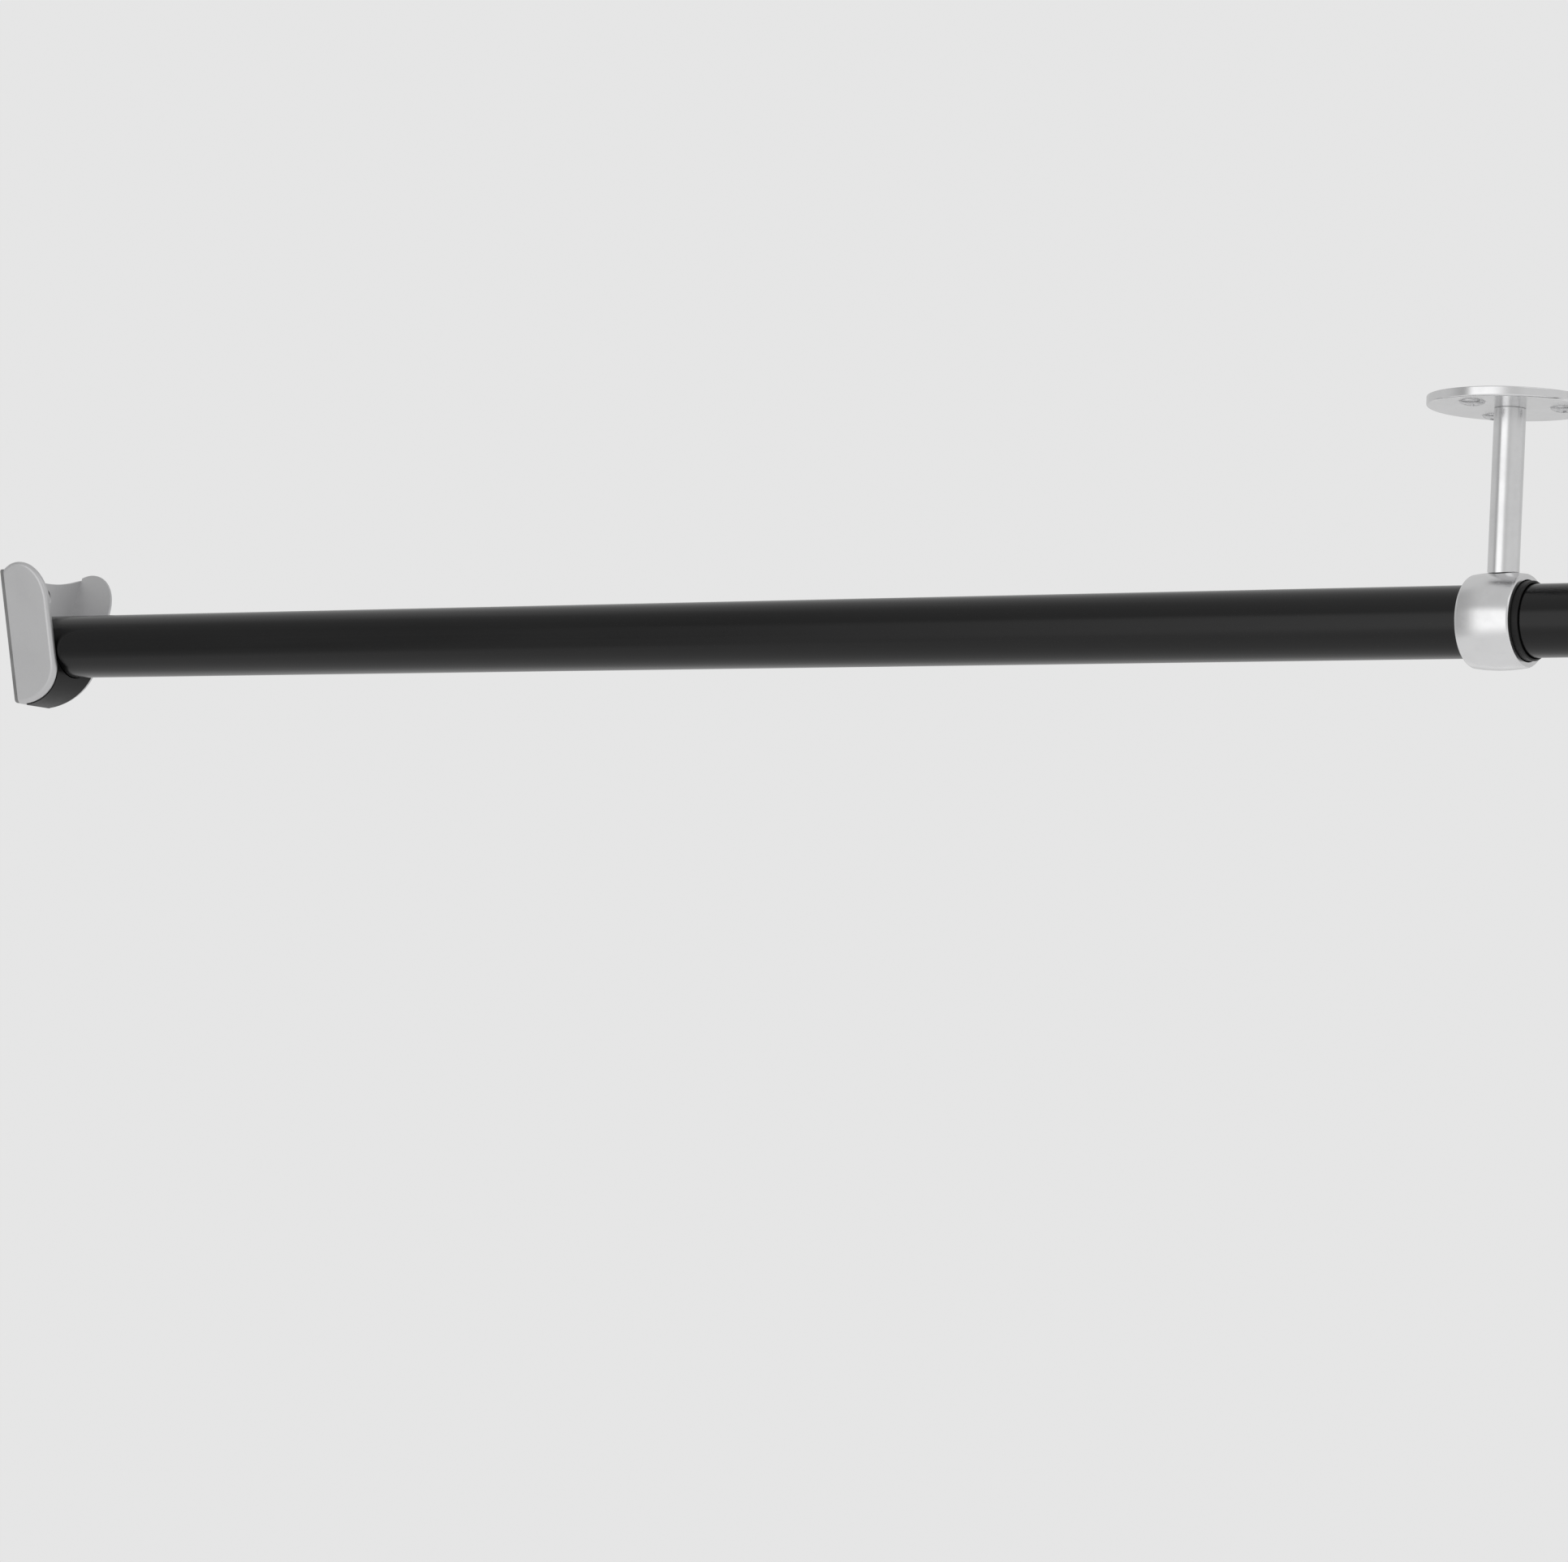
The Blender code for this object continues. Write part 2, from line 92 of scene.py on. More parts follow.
# --- general sizes ----------------------------------------------------------------------------------------
SPAN = cad_hi.x                        # from wall to wall
POST_X = SPAN / 2
CEILING_Z = cad_hi.z
GAP = 0.0003                           # between pieces that touch in reality
CUT_PAST = 0.002                       # how far a cutter reaches past a surface
FINE = 192                             # steps round the large turned pieces
MEDIUM = 96                            # steps round the post and the plugs
SMALL = 48                             # steps round the screws and their holes
SHARP_ANGLE = math.radians(32)         # steeper edges stay sharp in the shading
SAME_POINT = 1e-7
ON_PLANE = 1e-6
UPSIDE_DOWN = Matrix.Rotation(math.pi, 4, "X")
Z_TO_X = Matrix.Rotation(math.pi / 2, 4, "Y")
Z_TO_MINUS_X = Matrix.Rotation(-math.pi / 2, 4, "Y")
RIGHT_END = Matrix.Translation((SPAN, 0, 0)) @ Matrix.Rotation(math.pi, 4, "Z")
SIDES = (("left", Matrix.Identity(4)), ("right", RIGHT_END))

# --- rod --------------------------------------------------------------------------------------------------
ROD_R = TUBE_HI.z
ROD_WALL = 0.0015
ROD_BORE_R = ROD_R - ROD_WALL
ROD_EDGE = 0.0004                      # rounding of the tube's and the plugs' edges
SPIGOT_WALL = 0.002
DIMPLE_R = 0.004                       # moulding dimple in the middle of a plug
DIMPLE_SLOPE = 0.0005
DIMPLE_DEPTH = 0.0003

# --- ceiling support --------------------------------------------------------------------------------------
RING_R = RING_HI.z
RING_END_R = RING_R - 0.001
RING_BORE_R = 0.0166
RING_HALF = (RING_HI.x - RING_LO.x) / 2
RING_SHOULDER = 0.0008                 # rounding between the ring's outside and its end faces
RING_CHAMFER = 0.0002
LINER_R = LINER_HI.z
LINER_WALL = 0.00095
LINER_EDGE = 0.0003
POST_R = (POST_HI.x - POST_LO.x) / 2
POST_TOP = FLANGE_LO.z - 0.00005       # it ends close under the plate
POST_FOOT = RING_R * 0.8               # before it is hollowed to sit on the ring
POST_EDGE = 0.0001
SADDLE_REACH = POST_R * 1.3
FLANGE_R = (FLANGE_HI.x - FLANGE_LO.x) / 2
FLANGE_T = FLANGE_HI.z - FLANGE_LO.z
FLANGE_EDGE = 0.0011

# --- wall sockets: the wall is at x = 0, and the rod leaves along +X --------------------------------------
BASE_T = BASE_HI.x - BASE_LO.x
BASE_INSET = 0.0004                    # how much narrower the plate on the wall is than the socket
BASE_CORNER = 0.0015
WEB_T = 0.0026                         # the socket's back wall
WEB_FACE = BASE_T + GAP + WEB_T
WEB_TOP = 0.0315
WEB_TOP_CURVE_R = 0.08
WEB_TOP_STEPS = 360
CHEEK_T = 0.0025
FLARE = math.tan(math.radians(15))     # how fast the cheeks move apart towards the top
SLANT = math.hypot(1, FLARE)           # width across Y for one unit of thickness in a flared cheek
SOCKET_DEPTH = SHELL_HI.x
SOCKET_TOP = SHELL_HI.z
SOCKET_BOTTOM = SHELL_LO.z
SOCKET_DOME_X = 0.0115
SOCKET_DOME_H = 0.0185
SOCKET_TOE_X = 0.002
SOCKET_TOE_H = 0.0195
DOME_STEPS = 36
TOE_STEPS = 28
SHELL_RIM = 0.0021                     # rounding along the cheeks' outer edges
SADDLE_TOP = -0.008
SADDLE_PROUD = SOCKET_BOTTOM - SADDLE_LO.z
SOCKET_SCREW_Z = (0.024, -0.008)
SEAT_R = ROD_R + GAP
CHEEK_INNER = (SEAT_R + GAP) * SLANT
CHEEK_OUTER = CHEEK_INNER + CHEEK_T * SLANT
PAST_X, PAST_TOP, PAST_BOTTOM = 0.04, 0.055, -0.045    # clear of the socket on each side
FINE_EDGE = 0.0002                     # last rounding of sharp metal edges
MOULDED_EDGE = 0.0003                  # last rounding of sharp plastic edges

# --- screws -----------------------------------------------------------------------------------------------
WALL_SCREW = {"head_r": 0.0039, "shank_r": 0.0019, "recess": 0.0003}
FLANGE_SCREW = {"head_r": 0.0054, "shank_r": 0.0023, "recess": 0.0002}
POST_SCREW = {"head_r": 0.0046, "shank_r": 0.0024, "recess": 0.0003}
RING_SCREW = {"head_r": 0.0032, "shank_r": 0.0018, "recess": 0.0}
FLANGE_SCREW_DOME = 0.0019
POST_SCREW_REACH = 0.016
RING_SCREW_REACH = 0.010
THROUGH = 0.01                         # longer than any wall that a countersunk hole passes
HEAD_GAP = GAP * 1.5                   # between a head's cone and its hole
HEAD_LIP = 0.00012                     # rounding of a head's rim
DOME_DEGREES = 85                      # how far a raised head's curve runs from its middle to its rim
THREAD_START = 0.0002
SCREW_TIP = 0.0003
HOLE_CHAMFER = 0.00015

# --- camera, light and floor ------------------------------------------------------------------------------
CAMERA_PLACE = Vector((POST_X + 0.9615, -1.9421, -0.2485))
CAMERA_AZIMUTH, CAMERA_ELEVATION, CAMERA_ROLL = (math.radians(angle) for angle in (33.94, 4.48, 3.04))
CAMERA_LENS = 122.5
CAMERA_SENSOR = 36
FLOOR_R, FLOOR_Z, FLOOR_STEPS = 4.5, -3.2, 96
FLOOR_GLOW = 0.28
KEY_SIZE, KEY_POWER = (2.4, 1.6), 6
KEY_PLACE, KEY_AIM = Vector((3.2, -1.4, 2.2)), Vector((0.5, 0, 0))

# The world's parts, given by the direction they lie in: +X is right along the rod, -Y is the camera's side.
BACKDROP = 0.79                        # what the camera itself sees
SKY_Z, SKY_LOW, SKY_HIGH = (0.35, 0.8), 0.64, 0.66
FRONT_Y = (0.1, -0.3)
WINDOW_X, WINDOW_Z, WINDOW_GAIN = (-0.62, -0.46, 0.0, 0.45), (-0.58, -0.22, 0.24, 0.46), 0.66
CARD_X, CARD_Z, CARD_DIM = (-0.95, -0.66, -0.62, -0.44), (-0.66, -0.46), 0.34
BELOW_Z, BELOW_GAIN = (-0.2, -0.56), 0.22
RIGHT_X, RIGHT_GAIN = (0.5, 0.8), 0.08


# --- node helpers -----------------------------------------------------------------------------------------
class Nodes:
    """Adds nodes to a material or world and links them by socket name."""

    def __init__(self, tree):
        self.tree = tree

    def new(self, kind):
        return self.tree.nodes.new(kind)

    def link(self, source, target):
        self.tree.links.new(source, target)

    def math(self, operation, first, *others):
        """The first value combined with each of the others in turn. Values are numbers or sockets."""
        for other in others:
            node = self.new("ShaderNodeMath")
            node.operation = operation
            for socket, value in zip(node.inputs, (first, other)):
                if isinstance(value, (int, float)):
                    socket.default_value = value
                else:
                    self.link(value, socket)
            first = node.outputs[0]
        return first

    def ramp(self, value, low, high, out_low=0.0, out_high=1.0):
        """Smooth step from low to high."""
        node = self.new("ShaderNodeMapRange")
        node.interpolation_type = "SMOOTHSTEP"
        self.link(value, node.inputs["Value"])
        numbers = {"From Min": low, "From Max": high, "To Min": out_low, "To Max": out_high}
        for name, number in numbers.items():
            node.inputs[name].default_value = number
        return node.outputs["Result"]

    def band(self, value, start, full, last_full, end):
        """Rises smoothly from start to full, and falls again from last_full to end."""
        return self.math("MULTIPLY", self.ramp(value, start, full), self.ramp(value, end, last_full))

    def mix(self, factor, colour_a, colour_b):
        node = self.new("ShaderNodeMix")
        node.data_type = "RGBA"
        self.link(factor, node.inputs["Factor"])
        for socket, value in ((node.inputs[6], colour_a), (node.inputs[7], colour_b)):
            if isinstance(value, (tuple, list)):
                socket.default_value = (*value, 1)
            else:
                self.link(value, socket)
        return node.outputs[2]

    def stretched(self, scale):
        """Object coordinates in metres, multiplied by scale along each axis."""
        place = self.new("ShaderNodeTexCoord")
        mapping = self.new("ShaderNodeMapping")
        mapping.inputs["Scale"].default_value = scale
        self.link(place.outputs["Object"], mapping.inputs["Vector"])
        return mapping.outputs["Vector"]

    def noise(self, scale, detail, roughness, stretch=(1, 1, 1)):
        node = self.new("ShaderNodeTexNoise")
        node.inputs["Scale"].default_value = scale
        node.inputs["Detail"].default_value = detail
        node.inputs["Roughness"].default_value = roughness
        self.link(self.stretched(stretch), node.inputs["Vector"])
        return node.outputs["Fac"]

    def bump(self, height, distance, strength, normal=None):
        node = self.new("ShaderNodeBump")
        node.inputs["Distance"].default_value = distance
        node.inputs["Strength"].default_value = strength
        self.link(height, node.inputs["Height"])
        if normal is not None:
            self.link(normal, node.inputs["Normal"])
        return node.outputs["Normal"]


def new_material(name, **uniform):
    mat = bpy.data.materials.new(name)
    mat.use_nodes = True
    shader = mat.node_tree.nodes["Principled BSDF"]
    for key, value in uniform.items():
        shader.inputs[key].default_value = value
    return mat, Nodes(mat.node_tree), shader


def dress(n, shader, colour, roughness, normal):
    """Links a material's colour, its roughness and its bumped normal."""
    n.link(colour, shader.inputs["Base Color"])
    n.link(roughness, shader.inputs["Roughness"])
    n.link(normal, shader.inputs["Normal"])


def coating_material():
    """Satin black coat on a drawn tube: lengthwise lines, soft patches, orange peel and specks of dust."""
    mat, n, shader = new_material("satin_black_coating", Metallic=0.0, IOR=1.41)
    lines = n.noise(1.0, 5.0, 0.6, stretch=(2.2, 620.0, 620.0))
    patches = n.noise(1.0, 3.0, 0.5, stretch=(9.0, 60.0, 60.0))
    peel = n.noise(1500.0, 2.0, 0.5)
    dust = n.ramp(n.noise(2600.0, 1.0, 0.4), 0.70, 0.80)
    colour = n.mix(n.ramp(patches, 0.3, 0.7), (0.0012, 0.0012, 0.0013), (0.0024, 0.0024, 0.0025))
    colour = n.mix(n.math("MULTIPLY", dust, 0.35), colour, (0.05, 0.05, 0.05))
    rough = n.math("ADD", n.ramp(lines, 0.25, 0.75, 0.13, 0.19), n.ramp(patches, 0.3, 0.7, 0.0, 0.04))
    dress(n, shader, colour, rough, n.bump(peel, 0.00001, 0.5, n.bump(lines, 0.00002, 0.6)))
    return mat


def chrome_material():
    """Polished plate with soft smudges and a fine unevenness."""
    mat, n, shader = new_material("polished_chrome", Metallic=1.0)
    smudge = n.noise(55.0, 4.0, 0.6)
    fine = n.noise(420.0, 3.0, 0.6)
    colour = n.mix(n.ramp(smudge, 0.35, 0.7), (0.76, 0.76, 0.765), (0.71, 0.71, 0.715))
    rough = n.math("ADD", n.ramp(smudge, 0.35, 0.7, 0.19, 0.25), n.ramp(fine, 0.4, 0.75, 0.0, 0.03))
    dress(n, shader, colour, rough, n.bump(smudge, 0.00012, 0.25))
    return mat


def nickel_material():
    """Satin plated casting, brushed along its height."""
    mat, n, shader = new_material("satin_nickel", Metallic=1.0)
    brush = n.noise(1.0, 6.0, 0.7, stretch=(4200.0, 4200.0, 160.0))
    cloud = n.noise(70.0, 3.0, 0.5)
    colour = n.mix(n.ramp(brush, 0.3, 0.7), (0.57, 0.57, 0.575), (0.605, 0.605, 0.61))
    rough = n.math("ADD", n.ramp(brush, 0.3, 0.7, 0.36, 0.44), n.ramp(cloud, 0.35, 0.7, 0.0, 0.06))
    dress(n, shader, colour, rough, n.bump(brush, 0.00001, 0.35))
    return mat


def screw_material():
    """Bright zinc on turned steel: fine rings round the screw's own axis."""
    mat, n, shader = new_material("bright_zinc", Metallic=1.0)
    rings = n.new("ShaderNodeTexWave")
    rings.wave_type = "RINGS"
    rings.rings_direction = "Z"
    rings.inputs["Scale"].default_value = 1400.0
    rings.inputs["Distortion"].default_value = 1.5
    n.link(n.stretched((1, 1, 1)), rings.inputs["Vector"])
    cloud = n.noise(600.0, 3.0, 0.6)
    colour = n.mix(n.ramp(cloud, 0.3, 0.7), (0.50, 0.50, 0.51), (0.66, 0.66, 0.665))
    rough = n.ramp(cloud, 0.3, 0.7, 0.22, 0.34)
    dress(n, shader, colour, rough, n.bump(rings.outputs["Fac"], 0.000015, 0.3))
    return mat


def plastic_material(name, dark, light):
    """Grey or black moulded plastic with a fine eroded grain."""
    mat, n, shader = new_material(name, Metallic=0.0, IOR=1.36)
    grain = n.noise(1900.0, 3.0, 0.6)
    cloud = n.noise(120.0, 3.0, 0.5)
    colour = n.mix(n.ramp(cloud, 0.3, 0.7), (dark,) * 3, (light,) * 3)
    rough = n.math("ADD", n.ramp(grain, 0.3, 0.7, 0.34, 0.44), n.ramp(cloud, 0.3, 0.7, 0.0, 0.05))
    dress(n, shader, colour, rough, n.bump(grain, 0.00003, 0.5))
    return mat


def floor_material():
    """Pale card with soft clouds, softly lit from under as a light table is."""
    mat, n, shader = new_material("pale_floor", Roughness=0.9, Metallic=0.0)
    cloud = n.noise(0.8, 3.0, 0.5)
    colour = n.mix(n.ramp(cloud, 0.3, 0.7), (0.74, 0.74, 0.74), (0.77, 0.77, 0.77))
    n.link(colour, shader.inputs["Base Color"])
    shader.inputs["Emission Color"].default_value = (1, 1, 1, 1)
    shader.inputs["Emission Strength"].default_value = FLOOR_GLOW
    return mat


# --- mesh tools -------------------------------------------------------------------------------------------
def add_object(name, data):
    obj = bpy.data.objects.new(name, data)
    bpy.context.scene.collection.objects.link(obj)
    return obj


def smooth(mesh):
    mesh.shade_smooth()
    mesh.set_sharp_from_angle(angle=SHARP_ANGLE)
    return mesh


def finish_mesh(bm, name):
    bmesh.ops.remove_doubles(bm, verts=bm.verts, dist=SAME_POINT)
    bmesh.ops.recalc_face_normals(bm, faces=bm.faces)
    mesh = bpy.data.meshes.new(name)
    bm.to_mesh(mesh)
    bm.free()
    return smooth(mesh)


def carve(mesh, cutters):
    """The mesh with the cutters' meshes cut out of it."""
    body = add_object("body", mesh)
    tools = []
    for cutter in cutters:
        tool = add_object("cutter", cutter)
        modifier = body.modifiers.new("cut", "BOOLEAN")
        modifier.operation = "DIFFERENCE"
        modifier.solver = "EXACT"
        modifier.object = tool
        tools.append(tool)
    result = bpy.data.meshes.new_from_object(body.evaluated_get(bpy.context.evaluated_depsgraph_get()))
    for obj in (body, *tools):
        bpy.data.objects.remove(obj)
    result.name = mesh.name
    return smooth(result)


def moved(mesh, matrix):
    mesh.transform(matrix)
    return mesh


def spread(half_steps):
    """Even values from -1 to 1."""
    return [i / half_steps - 1 for i in range(2 * half_steps + 1)]


def angles(end_degrees, steps):
    """Even angles in radians from 0 to the end."""
    return [math.radians(end_degrees * i / steps) for i in range(steps + 1)]


def turned(name, profile, axis="Z", steps=FINE):
    """A closed profile of (radius, height) points, turned about Z, or about X with its heights along X."""
    bm = bmesh.new()
    ring = [bm.verts.new((radius, 0, height)) for radius, height in profile]
    edges = [bm.edges.new((ring[i - 1], ring[i])) for i in range(len(ring))]
    bmesh.ops.spin(bm, geom=ring + edges, cent=(0, 0, 0), axis=(0, 0, 1), angle=math.tau, steps=steps,
                   use_merge=True)
    bmesh.ops.dissolve_degenerate(bm, edges=bm.edges, dist=SAME_POINT)
    if axis == "X":
        bmesh.ops.rotate(bm, verts=bm.verts, matrix=Z_TO_X.to_3x3())
    return finish_mesh(bm, name)


def cylinder(radius, low, high, axis="Z", steps=SMALL):
    return turned("cylinder", [(0, low), (radius, low), (radius, high), (0, high)], axis, steps)


def rounded(points, radius, steps=5):
    """The closed profile with its corners rounded. Each point is (u, v, share of the radius)."""
    result = []
    count = len(points)
    for i, (u, v, share) in enumerate(points):
        if not share:
            result.append((u, v))
            continue
        corner = Vector((u, v))
        before = (Vector(points[i - 1][:2]) - corner).normalized() * radius * share
        after = (Vector(points[(i + 1) % count][:2]) - corner).normalized() * radius * share
        for step in range(steps + 1):
            t = step / steps
            result.append(tuple(corner + before * (1 - t) ** 2 + after * t ** 2))
    return result


def slab(outline, lower, upper):
    """A closed solid: the outline's points, joined between two sides that lower() and upper() place."""
    bm = bmesh.new()
    sides = [[bm.verts.new(side(u, v)) for u, v in outline] for side in (lower, upper)]
    for side in sides:
        bm.faces.new(side)
    for i in range(len(outline)):
        bm.faces.new((sides[0][i - 1], sides[0][i], sides[1][i], sides[1][i - 1]))
    bmesh.ops.recalc_face_normals(bm, faces=bm.faces)
    return bm


def piece(node, mesh, mat, matrix=Matrix.Identity(4), edge=0.0):
    """Places a mesh that stands for a CAD node and rides on its body. edge rounds what is still sharp."""
    obj = add_object(f"{node}_skin", mesh)
    obj.matrix_world = matrix
    if not mesh.materials:
        mesh.materials.append(mat)
    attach(obj, frame["nodes"][node]["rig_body"])
    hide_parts(node)
    if edge:
        bevel = obj.modifiers.new("edges", "BEVEL")
        bevel.width = edge
        bevel.segments = 2
        bevel.limit_method = "ANGLE"
        bevel.angle_limit = math.radians(40)
        bevel.miter_outer = "MITER_ARC"
    weighted = obj.modifiers.new("flat_shading", "WEIGHTED_NORMAL")
    weighted.keep_sharp = True
    weighted.weight = 100


# --- screws -----------------------------------------------------------------------------------------------
def screw_mesh(name, size, length, dome=0.0):
    """Countersunk cross-head screw along Z: its head's rim is at 0, and its shank points up."""
    head_r, shank_r = size["head_r"], size["shank_r"]
    cone = head_r - shank_r
    if dome:
        face = [(head_r * math.sin(a), -dome * math.cos(a)) for a in angles(DOME_DEGREES, 16)]
    else:
        face = [(0, 0), (head_r - HEAD_LIP * 2, 0)]
    rim = [(head_r - HEAD_LIP * 0.1, HEAD_LIP * 0.5), (head_r, HEAD_LIP * 1.6),
           (head_r - HEAD_LIP * 0.5, HEAD_LIP * 2.6)]
    shank = [(shank_r, cone + THREAD_START), (shank_r, length - SCREW_TIP), (shank_r - SCREW_TIP, length),
             (0, length)]
    return carve(turned(name, [*face, *rim, *shank], steps=SMALL), [cross_recess(head_r, dome)])


def cross_recess(head_r, dome):
    """A tapered cross with rounded arm ends, as deep as a cross-head driver goes."""
    arm, half, depth = head_r * 0.58, head_r * 0.13, head_r * 0.42
    bulge, inner = 0.35, 1.25          # the rounding of an arm's end and the cross's inner corners
    bm = bmesh.new()
    # Each level's height, and what is left there of the arms' reach and width.
    levels = [(-dome - depth / 4, 1.12, 1.12), (-dome, 1.0, 1.0), (depth * 0.75 - dome, 0.62, 0.75),
              (depth - dome, 0.30, 0.55)]
    rings = []
    for height, reach, width in levels:
        ring = []
        for turn in range(4):
            spin = Matrix.Rotation(turn * math.pi / 2, 2)
            a, h = arm * reach, half * width
            for corner in ((a, -h), (a + h * bulge, 0.0), (a, h), (h * inner, h * inner)):
                ring.append(bm.verts.new((*(spin @ Vector(corner)), height)))
        rings.append(ring)
    for low, high in zip(rings, rings[1:]):
        for i in range(len(low)):
            bm.faces.new((low[i - 1], low[i], high[i], high[i - 1]))
    bm.faces.new(rings[0])
    bm.faces.new(rings[-1])
    return finish_mesh(bm, "recess")


def screw_hole(size, length):
    """Cutter for a countersunk hole along Z. Its mouth is at 0, and the head sits a little above that."""
    hole_r = size["shank_r"] + GAP
    mouth = size["head_r"] + HEAD_GAP + size["recess"]
    rim = mouth + HOLE_CHAMFER
    profile = [(0, -CUT_PAST), (rim + CUT_PAST, -CUT_PAST), (rim, 0), (mouth, HOLE_CHAMFER),
               (hole_r, mouth - hole_r), (hole_r, length), (0, length)]
    return turned("hole", profile, steps=SMALL)


def shank_hole(size, low, high, axis="Z"):
    return cylinder(size["shank_r"] + GAP, low, high, axis)


# --- rod --------------------------------------------------------------------------------------------------
def build_rod(coating, plastic):
    length = TUBE_HI.x - TUBE_LO.x
    outline = [(ROD_BORE_R, 0, 0.5), (ROD_R, 0, 1), (ROD_R, length, 1), (ROD_BORE_R, length, 0.5)]
    tube = turned("tube", rounded(outline, ROD_EDGE), "X")
    piece("rod_tube", tube, coating, Matrix.Translation((TUBE_LO.x, 0, 0)))

    cap = TUBE_LO.x - GAP - PLUG_LO.x
    end = PLUG_HI.x - PLUG_LO.x
    spigot = ROD_BORE_R - GAP
    inner = spigot - SPIGOT_WALL
    outline = [(0, DIMPLE_DEPTH, 0), (DIMPLE_R, DIMPLE_DEPTH, 0.5), (DIMPLE_R + DIMPLE_SLOPE, 0, 0.5),
               (ROD_R, 0, 2), (ROD_R, cap, 0.6), (spigot, cap, 0), (spigot, end, 1.5), (inner, end, 0.5),
               (inner, cap, 0), (0, cap, 0)]
    plug = turned("plug", rounded(outline, ROD_EDGE), "X", MEDIUM)
    for side, matrix in SIDES:
        place = matrix @ Matrix.Translation((PLUG_LO.x, 0, 0))
        piece(f"{side}_end_plug", plug, plastic, place)


# --- ceiling support --------------------------------------------------------------------------------------
def barrel_radius(x, grow=0):
    """Radius of the ring's outside, which is an arc of a circle along its length."""
    rise = RING_R - RING_END_R
    arc = (RING_HALF ** 2 + rise ** 2) / (2 * rise)
    return RING_R + grow - (arc - math.sqrt(arc ** 2 - x ** 2))


def ring_mesh():
    flat = RING_HALF - RING_SHOULDER
    outside = [(barrel_radius(flat * share), flat * share) for share in spread(14)]
    left = [(RING_END_R - RING_SHOULDER * (1 - math.sin(a)), -flat - RING_SHOULDER * math.cos(a))
            for a in angles(90, 6)[:-1]]
    right = [(radius, -x) for radius, x in reversed(left)]
    profile = [(RING_BORE_R + RING_CHAMFER, -RING_HALF), *left, *outside, *right,
               (RING_BORE_R + RING_CHAMFER, RING_HALF), (RING_BORE_R, RING_HALF - RING_CHAMFER),
               (RING_BORE_R, RING_CHAMFER - RING_HALF)]
    hole = moved(screw_hole(RING_SCREW, THROUGH), Matrix.Translation((0, 0, RING_BORE_R + GAP)))
    return carve(turned("ring", profile, "X"), [hole])


def liner_mesh():
    low, high = LINER_LO.x - POST_X, LINER_HI.x - POST_X
    inner = LINER_R - LINER_WALL
    outline = [(inner, low, 0.6), (LINER_R, low, 0.6), (LINER_R, high, 1.6), (inner, high, 0.6)]
    return turned("liner", rounded(outline, LINER_EDGE, 6), "X")


def post_mesh():
    """A round bar whose foot is hollowed to sit on the ring, drilled at both ends."""
    profile = [(0, POST_FOOT), (POST_R, POST_FOOT), (POST_R, POST_TOP - POST_EDGE),
               (POST_R - POST_EDGE, POST_TOP), (0, POST_TOP)]
    bar = turned("post", profile, steps=MEDIUM)
    heights = [SADDLE_REACH * share for share in spread(12)]
    barrel = [(0, heights[0]), *[(barrel_radius(x, GAP), x) for x in heights], (0, heights[-1])]
    upper = shank_hole(POST_SCREW, POST_TOP - POST_SCREW_REACH, POST_TOP + CUT_PAST)
    lower = shank_hole(RING_SCREW, POST_FOOT, RING_R + RING_SCREW_REACH)
    return carve(bar, [turned("saddle", barrel, "X"), upper, lower])


def flange_screw_spots():
    """For each screw in the plate: its number, its x and y from the post's axis, and its rim's height."""
    for number in (1, 2, 3):
        lo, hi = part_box(f"flange_screw_{number}")
        yield number, (lo.x + hi.x) / 2 - POST_X, (lo.y + hi.y) / 2, FLANGE_LO.z + FLANGE_SCREW["recess"]


def flange_mesh():
    """The ceiling plate, with its top at height 0 and its visible side down."""
    outline = [(0, -FLANGE_T, 0), (FLANGE_R, -FLANGE_T, 1), (FLANGE_R, 0, 0.4), (0, 0, 0)]
    plate = turned("plate", rounded(outline, FLANGE_EDGE, 8))
    holes = [moved(screw_hole(FLANGE_SCREW, FLANGE_T + CUT_PAST), Matrix.Translation((x, y, -FLANGE_T)))
             for _, x, y, _ in flange_screw_spots()]
    centre = moved(screw_hole(POST_SCREW, FLANGE_T + CUT_PAST), UPSIDE_DOWN)
    return carve(plate, [*holes, centre])


def build_support(chrome, steel, plastic):
    at_post = Matrix.Translation((POST_X, 0, 0))
    piece("support_ring", ring_mesh(), chrome, at_post)
    # The liner is black moulded plastic, and its black rim beside the ring is also painted shade for the
    # shadowed gap between the ring's bore and the rod.
    piece("ring_liner", liner_mesh(), plastic, at_post)
    piece("support_post", post_mesh(), chrome, at_post)
    piece("ceiling_flange", flange_mesh(), chrome, Matrix.Translation((POST_X, 0, CEILING_Z)))

    lo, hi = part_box("ring_screw")
    screw = screw_mesh("ring_screw", RING_SCREW, hi.z - lo.z)
    piece("ring_screw", screw, steel, Matrix.Translation((POST_X, 0, lo.z)))
    lo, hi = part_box("post_screw")
    screw = screw_mesh("post_screw", POST_SCREW, hi.z - lo.z)
    piece("post_screw", screw, steel, Matrix.Translation((POST_X, 0, hi.z)) @ UPSIDE_DOWN)
    length = FLANGE_T - FLANGE_SCREW["recess"] - GAP
    screw = screw_mesh("flange_screw", FLANGE_SCREW, length, FLANGE_SCREW_DOME)
    for number, x, y, z in flange_screw_spots():
        # Each screw stopped at a turn of its own.
        place = Matrix.Translation((POST_X + x, y, z)) @ Matrix.Rotation(0.7 * number, 4, "Z")
        piece(f"flange_screw_{number}", screw, steel, place)


